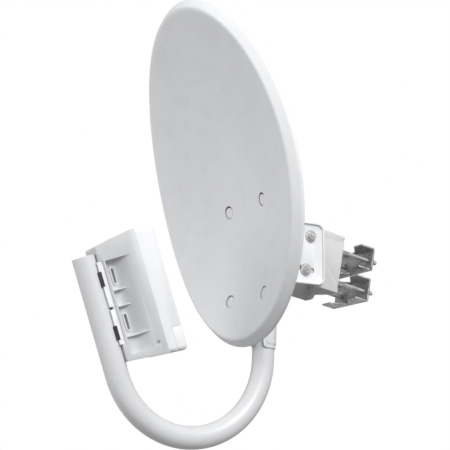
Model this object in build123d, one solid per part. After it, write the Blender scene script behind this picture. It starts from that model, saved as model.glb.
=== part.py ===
from build123d import *
import os
from math import atan2, cos, pi, radians, sin, tan

# Wireless-link satellite dish: an oval offset reflector on a tilting bracket, a J-shaped arm
# and a radio at the focus. Millimetres. Origin: centre of the mast clamp, on the mast's axis.
# +Z is up along the mast, the dish looks towards -Y, and X is the pivot direction.

# ---- driving dimensions ----
MAST_RADIUS = 30.15        # largest mast, nominal two-inch pipe, 60.3 mm across
SHEET = 3.0                # galvanised and painted bracket sheet

BRACKET_HALF_WIDTH = 50.8
BRACKET_HALF_HEIGHT = 52.25
BRACKET_FRONT_Y = -111.0
BRACKET_VEE_HALF_WIDTH = 28.5
BRACKET_VEE_HALF_ANGLE = 64.0
BRACKET_CORNER = 15.0

STRAP_HALF_LENGTH = 51.5
STRAP_HEIGHT = 43.6
STRAP_DEPTH = 29.1
STRAP_Z = 29.0             # height of each clamp strap above or below the origin
STRAP_VEE_HALF_WIDTH = 26.5
STRAP_VEE_HALF_ANGLE = 52.0
TOOTH_PITCH = 4.6
TOOTH_DEPTH = 2.0

BOLT_RADIUS = 4.0          # M8 carriage bolts throughout the mount
BOLT_HEAD_RADIUS = 10.3
BOLT_HEAD_HEIGHT = 4.2
CLAMP_HEAD_RADIUS = 7.5
CLAMP_BOLT_X = 36.2
CLAMP_BOLT_END_Y = 62.6
NUT_ACROSS_FLATS = 13.0
NUT_HEIGHT = 6.5
NUT_BORE_CLEARANCE = 0.08

PIVOT_Y = -94.2
PIVOT_Z = 30.65            # the lock bolt sits the same distance below the origin
PIVOT_BOLT_END_X = 65.0
LARGE_WASHER_RADIUS = 10.7
LARGE_WASHER_HEIGHT = 2.0
SMALL_WASHER_RADIUS = 8.5
SMALL_WASHER_HEIGHT = 1.6

EAR_TILT = 10.4            # lean of the back bracket's ears at rest
EAR_INSIDE_X = 51.3
EAR_SHEET = 2.5
EAR_TOP = 24.0             # along the ear, from the pivot
EAR_BOTTOM = -85.5
EAR_BACK = 27.0            # behind the pivot
EAR_CORNER = 14.0
EAR_LIP_X = 57.6
SLOT_FRONT_ANGLE = 18.8    # ends of the lock slot, from the ear's own axis
SLOT_BACK_ANGLE = -2.6
SLOT_HALF_WIDTH = 4.7

BASE_TILT = 11.0           # lean of the plate behind the reflector
FOOT_FRONT = -92.2         # face that meets the reflector, ahead of the pivot
BASE_FRONT = -77.0
BASE_TOP = 32.8
BASE_BOTTOM = -88.0
FOOT_HALF_WIDTH = 73.0
FOOT_INSIDE_X = 42.0
FOOT_LENGTH = 26.0
FOOT_RISER = 10.0
ARM_SLOT_HALF_WIDTH = 22.5
ARM_SLOT_TOP = -46.0

DISH_BOLT_X = 57.1
DISH_BOLT_W = (-108.4, 52.9)   # along the plate, from the pivot
DISH_BOLT_FLOOR = -93.4        # face that the bolt heads sit on
DISH_BOLT_LENGTH = 20.0
DISH_HEAD_RADIUS = 8.7
DIMPLE_WALL = 1.3          # sheet round each dimple in the dish

RIM_TILT = 24.73           # the rim plane faces this far below the horizon
RIM_HALF_HEIGHT = 291.8
RIM_HALF_WIDTH = 217.6
RIM_Y = -294.4
RIM_Z = 94.8
FOCAL_LENGTH = 215.6
DISH_SHEET = 1.4
LIP_OUT = 14.9             # the turned rim: outwards, and back along the rim's axis
LIP_BACK = 12.8
LIP_HEM = 3.5
DIMPLE_RADIUS = 10.8

TUBE_RADIUS = 19.05        # arm of 38.1 mm tube
TUBE_WALL = 1.6
BEND_Y = -256.3
BEND_Z = -214.1
BEND_RADIUS = 139.1
UPPER_LEAN = 8.4           # the arm's limb behind the dish
UPPER_LIMB = 158.0
RADIO_LEAN = 29.93         # the arm's limb that carries the radio
RADIO_LIMB = 197.3

SADDLE_SHEET = 2.0
SADDLE_BOTTOM = 20.0       # along the upper limb
SADDLE_TOP = 176.0
SADDLE_FLANGE_BOTTOM = 129.0
SADDLE_CHEEK = 12.5        # how far the cheeks reach in front of the tube's axis
SADDLE_STEP = 1.0          # the saddle's upper part stands this proud of its lower edge
SADDLE_BOLT_X = 34.0
SADDLE_BOLT_W = (-78.0, -54.0) # along the plate, from the pivot
SMALL_BOLT_RADIUS = 3.0    # M6 screws hold the saddle and the arm
SMALL_NUT_ACROSS = 10.0
SMALL_NUT_HEIGHT = 5.0
SMALL_BOLT_CLEARANCE = 0.25
ARM_BOLT_Z = (66.0, 140.0) # bolts through saddle and arm, along the upper limb

RAIL_BOTTOM = 47.0         # along the radio limb
RAIL_TOP = 183.0
RAIL_HALF_WIDTH = 20.4
RAIL_SEAT = 11.0           # the seat reaches back this far beside the tube
RAIL_FACE = 20.3
RAIL_SPINE_FACE = 28.0
RAIL_SPINE_HALF_WIDTH = 7.0
RAIL_SPINE_MARGIN = 2.0
RAIL_SLOTS = ((54.6, 78.0), (142.4, 167.0))
RAIL_SLOT_X = 13.0
RAIL_SLOT_Y = 14.2
RAIL_NOTCH = (104.0, 108.5)
RAIL_SCREW_Z = (70.0, 155.0)
RAIL_INSERT_RADIUS = 4.0

HOUSING_REAR = 15.0        # out from the arm's axis, beyond the rail's ends
HOUSING_LEAN = 20.5        # flare of the housing's sides
HOUSING_BLEND = 26.0       # radius where the flare runs into the straight side
HOUSING_END_RADIUS = 4.0
HOUSING_FLOOR = 60.5       # inside face behind the circuit board
POCKET_FACE = 12.8
POCKET_REAR = 24.0
RIB_FACE = 22.0            # outer edge of the thin ribs
CAVITY_REAR = 42.0
MOUNT_SCREW_Z = (90.0, 130.0)
BAND_SLOTS = ((66.0, 92.0), (143.0, 168.0))
BAND_SLOT_Y = 36.0
RIB_Z = (28.0, 56.5, 106.0, 132.5, 182.0)
RIB_THICKNESS = 1.6
RADIO_JOIN = 80.0          # plane where rear housing and radome meet
SIDE_SCREW_Y = 67.0
SIDE_SCREW_Z = 34.0
SIDE_SCREW_SEAT = 37.9
SIDE_SCREW_HEAD = 2.6
RADIO_FRONT = 116.0
RADIO_HALF_WIDTH = 43.0
RADIO_TOP = 220.0
RADIO_TOP_SLANT_END = 74.0
RADIO_WALL = 2.5
PORT_BACK = 95.0
PORT_TOP = 50.5
PORT_TONGUE_X = 24.0
JACK_Z = (26.0, 44.0)      # the network socket, along the radio
BOARD_Y = 66.0             # rear face of the circuit board
BOARD_LOW = 24.0
BOARD_HIGH = 208.0
BOARD_POST_X = 26.0
BOARD_POST_Z = (72.0, 196.0)
BOARD_SHEET = 1.6
ANTENNA_Y = 100.0          # rear face of the antenna panel
ANTENNA_LOW = 62.0
PATCH_Z = (106.0, 162.0)   # the two antenna patches
PATCH_HALF = 24.0
FIT_GAP = 0.3              # gap between parts that slide past each other

NECK_HOLE = 2 * BOLT_RADIUS + 0.2              # square hole for a carriage bolt's neck
FOOT_STEP = DISH_BOLT_FLOOR - FOOT_FRONT       # negative: the dimple floor's own thickness

# ---- frames ----
strap_face_y = MAST_RADIUS / sin(radians(STRAP_VEE_HALF_ANGLE)) + 8.1
bracket_apex_y = -MAST_RADIUS / sin(radians(BRACKET_VEE_HALF_ANGLE))
bracket_face_y = bracket_apex_y + BRACKET_VEE_HALF_WIDTH / tan(radians(BRACKET_VEE_HALF_ANGLE))
ear_frame = Location((0, PIVOT_Y, PIVOT_Z), (EAR_TILT, 0, 0))
base_frame = Location((0, PIVOT_Y, PIVOT_Z), (BASE_TILT, 0, 0))


def bend_point(lean, side):
    """Centre of the tube where the bend meets a limb: side 1 behind the dish, -1 at the radio."""
    return Vector(0, BEND_Y + side * BEND_RADIUS * cos(radians(lean)),
                  BEND_Z + side * BEND_RADIUS * sin(radians(lean)))


upper_frame = Location(bend_point(UPPER_LEAN, 1), (UPPER_LEAN, 0, 0))
radio_frame = Location(bend_point(RADIO_LEAN, -1), (RADIO_LEAN, 0, 0))


# ---- helpers ----
def block(x0, x1, y0, y1, z0, z1):
    """Box between two corners."""
    box = Box(abs(x1 - x0), abs(y1 - y0), abs(z1 - z0))
    return Pos((x0 + x1) / 2, (y0 + y1) / 2, (z0 + z1) / 2) * box


def rod(radius, start, end):
    """Cylinder between two points."""
    start, end = Vector(*start), Vector(*end)
    plane = Plane(origin=start, z_dir=end - start)
    return extrude(plane * Circle(radius), (end - start).length)


def hexagon_nut(start, direction, across=NUT_ACROSS_FLATS, height=NUT_HEIGHT, bore=BOLT_RADIUS):
    """Hexagon nut with chamfered corners, standing on start."""
    start, direction = Vector(*start), Vector(*direction).normalized()
    plane = Plane(origin=start, z_dir=direction)
    body = extrude(plane * RegularPolygon(across / 2, 6, major_radius=False), height)
    cone = rod(across / 2 * 1.12, start, start + direction * height)
    cone = chamfer(cone.edges().filter_by(GeomType.CIRCLE), 0.7)
    hole = rod(bore + NUT_BORE_CLEARANCE, start - direction, start + direction * (height + 1))
    return (body & cone) - hole


def washer(start, direction, radius, height, bore=BOLT_RADIUS + 0.3):
    """Flat washer standing on start."""
    start, direction = Vector(*start), Vector(*direction).normalized()
    disc = rod(radius, start, start + direction * height)
    return disc - rod(bore, start - direction, start + direction * (height + 1))


def carriage_bolt(seat, direction, length, neck, head=BOLT_HEAD_RADIUS, radius=BOLT_RADIUS):
    """Mushroom-headed bolt: the head lies on seat, the square neck and shank run on from it."""
    seat, direction = Vector(*seat), Vector(*direction).normalized()
    plane = Plane(origin=seat, z_dir=direction)
    ball = (head ** 2 + BOLT_HEAD_HEIGHT ** 2) / (2 * BOLT_HEAD_HEIGHT)
    sphere = Pos(seat + direction * (ball - BOLT_HEAD_HEIGHT)) * Sphere(ball)
    slab = rod(head, seat - direction * BOLT_HEAD_HEIGHT * 1.01, seat)
    square = extrude(plane * Rectangle(2 * radius, 2 * radius), neck)
    shank = rod(radius, seat, seat + direction * length)
    tip = shank.faces().sort_by(Axis(seat, direction))[-1]
    shank = chamfer(tip.edges(), 0.8)
    return (sphere & slab) + square + shank


def hole_along_x(frame, y, z, radius):
    """Cutter for a round hole along X through both sides."""
    return frame * rod(radius, (-90, y, z), (90, y, z))


def both_sides(build):
    """The same solid at +X and mirrored at -X."""
    solid = build(1)
    return [solid, mirror(solid, Plane.YZ)]


# ---- mast bracket and its clamp straps ----
def mast_bracket():
    outer = BRACKET_HALF_WIDTH
    vee = [(outer, bracket_face_y), (BRACKET_VEE_HALF_WIDTH, bracket_face_y), (0, bracket_apex_y),
           (-BRACKET_VEE_HALF_WIDTH, bracket_face_y), (-outer, bracket_face_y)]
    front = [(x, y - SHEET * 1.06) for x, y in reversed(vee)]
    web = extrude(make_face(Polyline(*vee, *front, close=True)), BRACKET_HALF_HEIGHT, both=True)
    side = block(outer - SHEET, outer, BRACKET_FRONT_Y, bracket_face_y,
                 -BRACKET_HALF_HEIGHT, BRACKET_HALF_HEIGHT)
    front_corners = side.edges().filter_by(Axis.X).sort_by(Axis.Y)[:2]
    side = fillet(front_corners, BRACKET_CORNER)
    body = web + side + mirror(side, Plane.YZ)
    bends = [e for e in body.edges().filter_by(Axis.Z)
             if abs(abs(e.center().X) - outer) < 0.1 and abs(e.center().Y - bracket_face_y) < 0.1]
    body = fillet(bends, 2.5)
    for z in (-STRAP_Z, STRAP_Z):
        for x in (-CLAMP_BOLT_X, CLAMP_BOLT_X):
            body -= Pos(x, bracket_face_y, z) * Box(NECK_HOLE, 12, NECK_HOLE)
    for z in (-PIVOT_Z, PIVOT_Z):
        body -= Pos(0, PIVOT_Y, z) * Box(120, NECK_HOLE, NECK_HOLE)
    for x in (-outer, outer):
        for z in (-40.5, 44.5):
            body -= Pos(x, bracket_face_y, z) * Cylinder(3.0, 7.0)
    return body


def strap_vee_cutter():
    """Toothed V that the flanges of a strap are cut to, apex towards the web."""
    slope = tan(radians(STRAP_VEE_HALF_ANGLE))
    apex = MAST_RADIUS / sin(radians(STRAP_VEE_HALF_ANGLE))
    teeth = int(STRAP_VEE_HALF_WIDTH / sin(radians(STRAP_VEE_HALF_ANGLE)) / TOOTH_PITCH)
    wall = []
    for i in range(teeth):
        for share, depth in ((0.0, 0.0), (0.5, TOOTH_DEPTH)):
            run = (i + share + 0.5) * TOOTH_PITCH
            x = run * sin(radians(STRAP_VEE_HALF_ANGLE)) + depth * cos(radians(STRAP_VEE_HALF_ANGLE))
            y = apex - run * cos(radians(STRAP_VEE_HALF_ANGLE)) \
                + depth * sin(radians(STRAP_VEE_HALF_ANGLE))
            wall.append((x, y))
    last_x = STRAP_VEE_HALF_WIDTH
    right = [(0, apex), *wall, (last_x, apex - last_x / slope), (last_x, 0)]
    left = [(-x, y) for x, y in reversed(right[1:])]
    return make_face(Polyline(*right, *left, close=True))


def clamp_strap(sign):
    z = sign * STRAP_Z
    low, high = z - STRAP_HEIGHT / 2, z + STRAP_HEIGHT / 2
    tip_y = strap_face_y - STRAP_DEPTH
    outer = block(-STRAP_HALF_LENGTH, STRAP_HALF_LENGTH, tip_y, strap_face_y, low, high)
    outer = fillet([e for e in outer.edges().filter_by(Axis.X) if e.center().Y > tip_y + 1], 3.0)
    inner = block(-STRAP_HALF_LENGTH - 1, STRAP_HALF_LENGTH + 1, tip_y - 1, strap_face_y - SHEET,
                  low + SHEET, high - SHEET)
    body = outer - inner
    body -= Pos(0, 0, low - 1) * extrude(strap_vee_cutter(), STRAP_HEIGHT + 2)
    for x in (-CLAMP_BOLT_X, CLAMP_BOLT_X):
        body -= rod(BOLT_RADIUS + 0.5, (x, strap_face_y - 9, z), (x, strap_face_y + 2, z))
    return body


def strap_washers(sign):
    return [washer((x, strap_face_y, sign * STRAP_Z), (0, 1, 0),
                   SMALL_WASHER_RADIUS, SMALL_WASHER_HEIGHT)
            for x in (-CLAMP_BOLT_X, CLAMP_BOLT_X)]


def strap_nuts(sign):
    seat = strap_face_y + SMALL_WASHER_HEIGHT
    return [hexagon_nut((x, seat, sign * STRAP_Z), (0, 1, 0))
            for x in (-CLAMP_BOLT_X, CLAMP_BOLT_X)]


def clamp_bolts():
    seat = bracket_face_y - SHEET * 1.06
    length = CLAMP_BOLT_END_Y - seat
    return [carriage_bolt((x, seat, z), (0, 1, 0), length, SHEET, CLAMP_HEAD_RADIUS)
            for z in (-STRAP_Z, STRAP_Z) for x in (-CLAMP_BOLT_X, CLAMP_BOLT_X)]


# ---- pivot and lock hardware, which stays with the mast bracket ----
def side_bolts(z):
    seat = BRACKET_HALF_WIDTH - SHEET
    return both_sides(lambda s: carriage_bolt((seat, PIVOT_Y, z), (1, 0, 0),
                                              PIVOT_BOLT_END_X - seat, SHEET))


def side_washers(z):
    face = EAR_INSIDE_X + EAR_SHEET + FIT_GAP
    return both_sides(lambda s: washer((face, PIVOT_Y, z), (1, 0, 0),
                                       LARGE_WASHER_RADIUS, LARGE_WASHER_HEIGHT))


def side_nuts(z):
    face = EAR_INSIDE_X + EAR_SHEET + FIT_GAP + LARGE_WASHER_HEIGHT
    return both_sides(lambda s: hexagon_nut((face, PIVOT_Y, z), (1, 0, 0)))


# ---- back bracket ----
def ear_outline(inset):
    """Rounded side view of an ear, running forward past the base plate, in the YZ plane."""
    front, back = -120.0, EAR_BACK - inset
    top, bottom = EAR_TOP - inset, EAR_BOTTOM + inset
    outline = Rectangle(back - front, top - bottom)
    corners = outline.vertices().sort_by(Axis.X)[-2:]
    outline = fillet(corners, EAR_CORNER - inset)
    return Plane.YZ * Pos((front + back) / 2, (top + bottom) / 2) * outline


def base_profile():
    """Side view of the plate and its four stepped feet, as one bent strip."""
    edge = [(FOOT_FRONT, BASE_BOTTOM - FOOT_RISER - FOOT_LENGTH), (FOOT_FRONT, BASE_BOTTOM - FOOT_RISER),
            (BASE_FRONT, BASE_BOTTOM), (BASE_FRONT, BASE_TOP), (FOOT_FRONT, BASE_TOP + FOOT_RISER),
            (FOOT_FRONT, BASE_TOP + FOOT_RISER + FOOT_LENGTH)]
    shift = EAR_SHEET * tan(atan2(BASE_FRONT - FOOT_FRONT, FOOT_RISER) / 2)
    shifts = (0, -shift, -shift, shift, shift, 0)
    back = [(y + EAR_SHEET, z + dz) for (y, z), dz in zip(edge, shifts)]
    back.reverse()
    return Plane.YZ * make_face(Polyline(*edge, *back, close=True))


def base_holes(bolts_w, x, radius):
    return [base_frame * rod(radius, (s * x, FOOT_FRONT - 5, w), (s * x, BASE_FRONT + 15, w))
            for w in bolts_w for s in (-1, 1)]


def back_bracket():
    plate = extrude(base_profile(), FOOT_HALF_WIDTH, both=True)
    high, low = BASE_TOP + FOOT_RISER + FOOT_LENGTH, BASE_BOTTOM - FOOT_RISER - FOOT_LENGTH
    step = EAR_INSIDE_X + EAR_SHEET
    for s in (-1, 1):
        plate -= Pos(s * (step + 50), -80, (BASE_TOP + BASE_BOTTOM) / 2) \
            * Box(100, 40, BASE_TOP - BASE_BOTTOM - 4)
    plate -= block(-FOOT_INSIDE_X, FOOT_INSIDE_X, -100, -60, BASE_TOP + 1, high + 1)
    plate -= block(-FOOT_INSIDE_X, FOOT_INSIDE_X, -100, -60, low - 1, BASE_BOTTOM - 1)
    arm_slot = block(-ARM_SLOT_HALF_WIDTH, ARM_SLOT_HALF_WIDTH, -100, -60, low - 1, ARM_SLOT_TOP)
    plate -= fillet(arm_slot.edges().filter_by(Axis.Y).sort_by(Axis.Z)[-2:], 12)
    tips = [e for e in plate.edges().filter_by(Axis.Y) if abs(e.center().X) > FOOT_HALF_WIDTH - 1
            and (e.center().Z > high - 1 or e.center().Z < low + 1)]
    plate = fillet(tips, 7)
    plate = base_frame * plate

    ear = extrude(Pos(EAR_INSIDE_X, 0, 0) * ear_outline(0), EAR_SHEET)
    rim = extrude(Pos(EAR_INSIDE_X, 0, 0) * ear_outline(0), EAR_LIP_X - EAR_INSIDE_X)
    rim -= extrude(Pos(EAR_INSIDE_X - 1, 0, 0) * ear_outline(EAR_SHEET), EAR_LIP_X)
    ear = ear_frame * (ear + rim)
    ear -= base_frame * block(0, 90, -200, BASE_FRONT + EAR_SHEET / 2, -200, 200)
    body = plate + ear + mirror(ear, Plane.YZ)

    body -= hole_along_x(ear_frame, 0, 0, BOLT_RADIUS + NUT_BORE_CLEARANCE)
    slot_radius = 2 * PIVOT_Z
    middle = (SLOT_FRONT_ANGLE + SLOT_BACK_ANGLE) / 2
    points = [(-slot_radius * sin(radians(a)), -slot_radius * cos(radians(a)))
              for a in (SLOT_FRONT_ANGLE, middle, SLOT_BACK_ANGLE)]
    slot = SlotArc(ThreePointArc(*points), 2 * SLOT_HALF_WIDTH)
    body -= ear_frame * extrude(Plane.YZ * slot, 90, both=True)
    for cutter in base_holes(DISH_BOLT_W, DISH_BOLT_X, BOLT_RADIUS + 0.5):
        body -= cutter
    for cutter in base_holes(SADDLE_BOLT_W, SADDLE_BOLT_X, SMALL_BOLT_RADIUS + SMALL_BOLT_CLEARANCE):
        body -= cutter
    return body


# ---- reflector ----
def dish_y(x, z):
    """Front surface of the paraboloid, whose axis points along -Y."""
    return dish_vertex_y - (x ** 2 + (z - dish_vertex_z) ** 2) / (4 * FOCAL_LENGTH)


aperture_half_height = RIM_HALF_HEIGHT * cos(radians(RIM_TILT))
dish_vertex_z = RIM_Z - 2 * FOCAL_LENGTH * tan(radians(RIM_TILT))
rim_bottom_y = RIM_Y + RIM_HALF_HEIGHT * sin(radians(RIM_TILT))
rim_bottom_z = RIM_Z - aperture_half_height
dish_vertex_y = rim_bottom_y + (rim_bottom_z - dish_vertex_z) ** 2 / (4 * FOCAL_LENGTH)
rim_normal = Vector(0, -cos(radians(RIM_TILT)), -sin(radians(RIM_TILT)))


def paraboloid(offset, depth):
    """Solid behind the paraboloid, its front moved back by offset measured along the axis."""
    reach = 480.0
    sag = reach ** 2 / (4 * FOCAL_LENGTH)
    top = dish_vertex_y + offset
    curve = Bezier((0, top), (reach / 2, top), (reach, top - sag))
    sides = Polyline((reach, top - sag), (reach, top + depth), (0, top + depth), (0, top))
    half = make_face(Wire([*curve.edges(), *sides.edges()]))
    return Pos(0, 0, dish_vertex_z) * revolve(half, Axis.Y)


def rim_point(angle):
    x = RIM_HALF_WIDTH * cos(angle)
    z = RIM_Z + aperture_half_height * sin(angle)
    return Vector(x, dish_y(x, z) + DISH_SHEET * 0.55, z)


def rim_lip():
    """The turned rim: a bead on the dish's edge, a flared wall and a short hem."""
    count = 48
    path = Spline(*[rim_point(2 * pi * i / count) for i in range(count)], periodic=True)
    outward = Vector(1, 0, 0)
    plane = Plane(origin=path @ 0, x_dir=outward, z_dir=outward.cross(-rim_normal))
    behind = path.moved(Location(rim_normal * -60))
    bead = 1.0
    wall = DISH_SHEET * 0.9
    curve = Polyline((0, 0), (LIP_OUT * 0.16, LIP_BACK * 0.06), (LIP_OUT - 2.0, LIP_BACK - 1.6),
                     (LIP_OUT, LIP_BACK + 0.6), (LIP_OUT, LIP_BACK + LIP_HEM))
    strip = make_face(trace(curve, wall).faces()[0].outer_wire())
    section = Sketch() + strip + Circle(bead)
    return sweep(plane * section, path=path, binormal=behind)


def reflector():
    shell = paraboloid(0, 60) - paraboloid(DISH_SHEET, 70)
    oval = Plane.XZ * Ellipse(RIM_HALF_WIDTH, aperture_half_height)
    shell &= Pos(0, 0, RIM_Z) * extrude(oval, 800, both=True)
    behind = paraboloid(0.3, 120)
    for w in DISH_BOLT_W:
        for s in (-1, 1):
            x = s * DISH_BOLT_X
            floor = DISH_BOLT_FLOOR
            shell -= base_frame * rod(DIMPLE_RADIUS, (x, floor - 12, w), (x, floor + 12, w))
            cup = rod(DIMPLE_RADIUS + DIMPLE_WALL, (x, floor - 12, w), (x, floor - FOOT_STEP, w))
            cup -= rod(DIMPLE_RADIUS, (x, floor - 13, w), (x, floor, w))
            cup -= Pos(x, floor, w) * Box(NECK_HOLE, 26, NECK_HOLE)
            shell += (base_frame * cup) & behind
    return shell + rim_lip()


def dish_bolts():
    out = []
    for w in DISH_BOLT_W:
        for s in (-1, 1):
            bolt = carriage_bolt((s * DISH_BOLT_X, DISH_BOLT_FLOOR, w), (0, 1, 0),
                                 DISH_BOLT_LENGTH, -FOOT_STEP, DISH_HEAD_RADIUS)
            out.append(base_frame * bolt)
    return out


def dish_washers():
    seat = FOOT_FRONT + EAR_SHEET
    return [base_frame * washer((s * DISH_BOLT_X, seat, w), (0, 1, 0),
                                SMALL_WASHER_RADIUS, SMALL_WASHER_HEIGHT)
            for w in DISH_BOLT_W for s in (-1, 1)]


def dish_nuts():
    seat = FOOT_FRONT + EAR_SHEET + SMALL_WASHER_HEIGHT
    return [base_frame * hexagon_nut((s * DISH_BOLT_X, seat, w), (0, 1, 0))
            for w in DISH_BOLT_W for s in (-1, 1)]


# ---- arm and its saddle ----
def arm_tube():
    end = upper_frame * Pos(0, 0, UPPER_LIMB)
    start = radio_frame * Pos(0, 0, RADIO_LIMB)
    low = Vector(0, BEND_Y, BEND_Z - BEND_RADIUS)
    bend = ThreePointArc(bend_point(RADIO_LEAN, -1), low, bend_point(UPPER_LEAN, 1))
    path = Wire([Edge.make_line(start.position, bend @ 0), *bend.edges(),
                 Edge.make_line(bend @ 1, end.position)])
    ring_plane = Plane(origin=start.position, z_dir=path % 0)
    outer = sweep(ring_plane * Circle(TUBE_RADIUS), path=path)
    inner = sweep(ring_plane * Circle(TUBE_RADIUS - TUBE_WALL), path=path)
    tube = outer - inner
    for z in ARM_BOLT_Z:
        tube -= hole_along_x(upper_frame, 0, z, SMALL_BOLT_RADIUS + SMALL_BOLT_CLEARANCE)
    for z in RAIL_SCREW_Z:
        tube -= radio_frame * rod(RAIL_INSERT_RADIUS, (0, 5, z), (0, 30, z))
    return tube


def arm_saddle():
    """Channel round the back of the arm, with rounded lower corners and two bolted flanges."""
    inner, outer = TUBE_RADIUS, TUBE_RADIUS + SADDLE_SHEET

    def channel(radius, cheek, bottom):
        tube = Pos(0, 0, (bottom + SADDLE_TOP) / 2) * Cylinder(radius, SADDLE_TOP - bottom)
        back = tube & block(-60, 60, 0, 60, bottom, SADDLE_TOP)
        return back + block(-radius, radius, -cheek, 0, bottom, SADDLE_TOP)

    body = channel(outer, SADDLE_CHEEK, SADDLE_BOTTOM)
    body = fillet([e for e in body.edges().filter_by(Axis.X)
                   if e.center().Y < -SADDLE_CHEEK + 0.1 and e.center().Z < SADDLE_BOTTOM + 0.1], 9.0)
    step = channel(outer + SADDLE_STEP, SADDLE_CHEEK - 5.0, SADDLE_BOTTOM + 7.0)
    step = fillet([e for e in step.edges().filter_by(Axis.X)
                   if e.center().Y < -SADDLE_CHEEK + 5.1 and e.center().Z < SADDLE_BOTTOM + 7.1], 6.0)
    body += step
    body -= channel(inner, SADDLE_CHEEK + 1.0, SADDLE_BOTTOM - 1) \
        + Pos(0, 0, SADDLE_TOP) * channel(inner, SADDLE_CHEEK + 1.0, SADDLE_TOP - 2)
    body = upper_frame * body

    face = BASE_FRONT + EAR_SHEET
    low = base_w(SADDLE_FLANGE_BOTTOM)
    high = base_w(SADDLE_TOP)
    flange = block(outer - 0.8, SADDLE_BOLT_X + 10, face, face + EAR_SHEET, low, high)
    flange = fillet(flange.edges().filter_by(Axis.Y).sort_by(Axis.X)[-2:], 6)
    flange = base_frame * flange
    body -= base_frame * block(-60, 60, -200, face, low - 1, high + 60)
    body += flange + mirror(flange, Plane.YZ)
    for z in ARM_BOLT_Z:
        body -= hole_along_x(upper_frame, 0, z, SMALL_BOLT_RADIUS + SMALL_BOLT_CLEARANCE)
    for cutter in base_holes(SADDLE_BOLT_W, SADDLE_BOLT_X, SMALL_BOLT_RADIUS + SMALL_BOLT_CLEARANCE):
        body -= cutter
    return body


def base_w(limb_z):
    """Height on the base plate of a point on the upper limb."""
    point = base_frame.inverse() * upper_frame * Pos(0, -SADDLE_CHEEK, limb_z)
    return point.position.Z


def hex_screw(seat, direction, length, radius, across, head):
    """Hexagon-headed screw: the head stands back from seat and the shank runs on."""
    seat, direction = Vector(*seat), Vector(*direction).normalized()
    body = hexagon_nut(seat, -direction, across, head, 0.01)
    shank = rod(radius, seat - direction * head * 0.6, seat + direction * length)
    core = rod(radius, seat - direction * head * 0.999, seat)
    return body + shank + core


def saddle_bolts():
    return [base_frame * hex_screw((s * SADDLE_BOLT_X, BASE_FRONT, w), (0, 1, 0), 13.5,
                                   SMALL_BOLT_RADIUS, SMALL_NUT_ACROSS, 2.4)
            for w in SADDLE_BOLT_W for s in (-1, 1)]


def saddle_nuts():
    seat = BASE_FRONT + 2 * EAR_SHEET
    return [base_frame * hexagon_nut((s * SADDLE_BOLT_X, seat, w), (0, 1, 0), SMALL_NUT_ACROSS,
                                     SMALL_NUT_HEIGHT, SMALL_BOLT_RADIUS)
            for w in SADDLE_BOLT_W for s in (-1, 1)]


def arm_bolts():
    side = TUBE_RADIUS + SADDLE_SHEET + SADDLE_STEP
    return [upper_frame * hex_screw((-side, 0, z), (1, 0, 0), 2 * side + 8.0,
                                    SMALL_BOLT_RADIUS, SMALL_NUT_ACROSS, 4.0) for z in ARM_BOLT_Z]


def arm_nuts():
    side = TUBE_RADIUS + SADDLE_SHEET + SADDLE_STEP
    return [upper_frame * hexagon_nut((side, 0, z), (1, 0, 0), SMALL_NUT_ACROSS, SMALL_NUT_HEIGHT,
                                      SMALL_BOLT_RADIUS)
            for z in ARM_BOLT_Z]


# ---- radio mount ----
def radio_rail():
    """Seat that hugs the arm, with a spine that the radio's back fits over."""
    half, spine = RAIL_HALF_WIDTH, RAIL_SPINE_HALF_WIDTH
    rail = block(-half, half, RAIL_SEAT, RAIL_FACE, RAIL_BOTTOM, RAIL_TOP)
    rail -= Pos(0, 0, RAIL_TOP / 2) * Cylinder(TUBE_RADIUS + 0.02, 2 * RAIL_TOP)
    for low, high in RAIL_SLOTS:
        for s in (-1, 1):
            rail -= block(s * 30, s * RAIL_SLOT_X, 0, RAIL_SLOT_Y, low, high)
    rail -= block(-30, 30, 0, 17.5, *RAIL_NOTCH)
    rail += block(-spine, spine, RAIL_FACE - 1, RAIL_SPINE_FACE,
                  RAIL_BOTTOM + RAIL_SPINE_MARGIN, RAIL_TOP - RAIL_SPINE_MARGIN)
    for z in RAIL_SCREW_Z:
        rail -= rod(2.7, (0, 10, z), (0, 40, z))
        rail -= rod(4.8, (0, RAIL_SPINE_FACE - 4.5, z), (0, 40, z))
    for z in MOUNT_SCREW_Z:
        rail -= rod(2.05, (0, RAIL_FACE + 0.3, z), (0, 40, z))
    return radio_frame * rail


def rail_pads():
    """Rubber pads between the rail and the tube, seen through the rail's side slots."""
    tube = Pos(0, 0, RAIL_TOP / 2) * Cylinder(TUBE_RADIUS + 0.05, 2 * RAIL_TOP)
    out = []
    for low, high in RAIL_SLOTS:
        for s in (-1, 1):
            pad = block(s * (RAIL_SLOT_X + 0.05), s * (RAIL_HALF_WIDTH - 0.8), RAIL_SEAT - 2.5,
                        RAIL_SLOT_Y - 0.05, low + 0.05, high - 0.05)
            out.append(radio_frame * (pad - tube))
    return out


def rail_screws():
    seat = RAIL_SPINE_FACE - 4.5
    out = []
    for z in RAIL_SCREW_Z:
        head = rod(4.6, (0, seat, z), (0, seat + 3.2, z))
        socket = Pos(0, seat + 3.2, z) * extrude(Plane.XZ * RegularPolygon(2.0, 6), 2.0, both=True)
        out.append(radio_frame * (head + rod(2.5, (0, seat, z), (0, 8.0, z)) - socket))
    return out


def rail_inserts():
    """Blind rivet nuts set in the arm's wall under the rail screws."""
    out = []
    for z in RAIL_SCREW_Z:
        body = rod(RAIL_INSERT_RADIUS, (0, 9.0, z), (0, TUBE_RADIUS - 0.4, z))
        flange = rod(5.6, (0, TUBE_RADIUS - TUBE_WALL - 3.2, z), (0, TUBE_RADIUS, z))
        body += flange & Pos(0, 0, z) * Cylinder(TUBE_RADIUS - TUBE_WALL, 20)
        out.append(radio_frame * (body - rod(2.5, (0, 8, z), (0, 25, z))))
    return out


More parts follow.
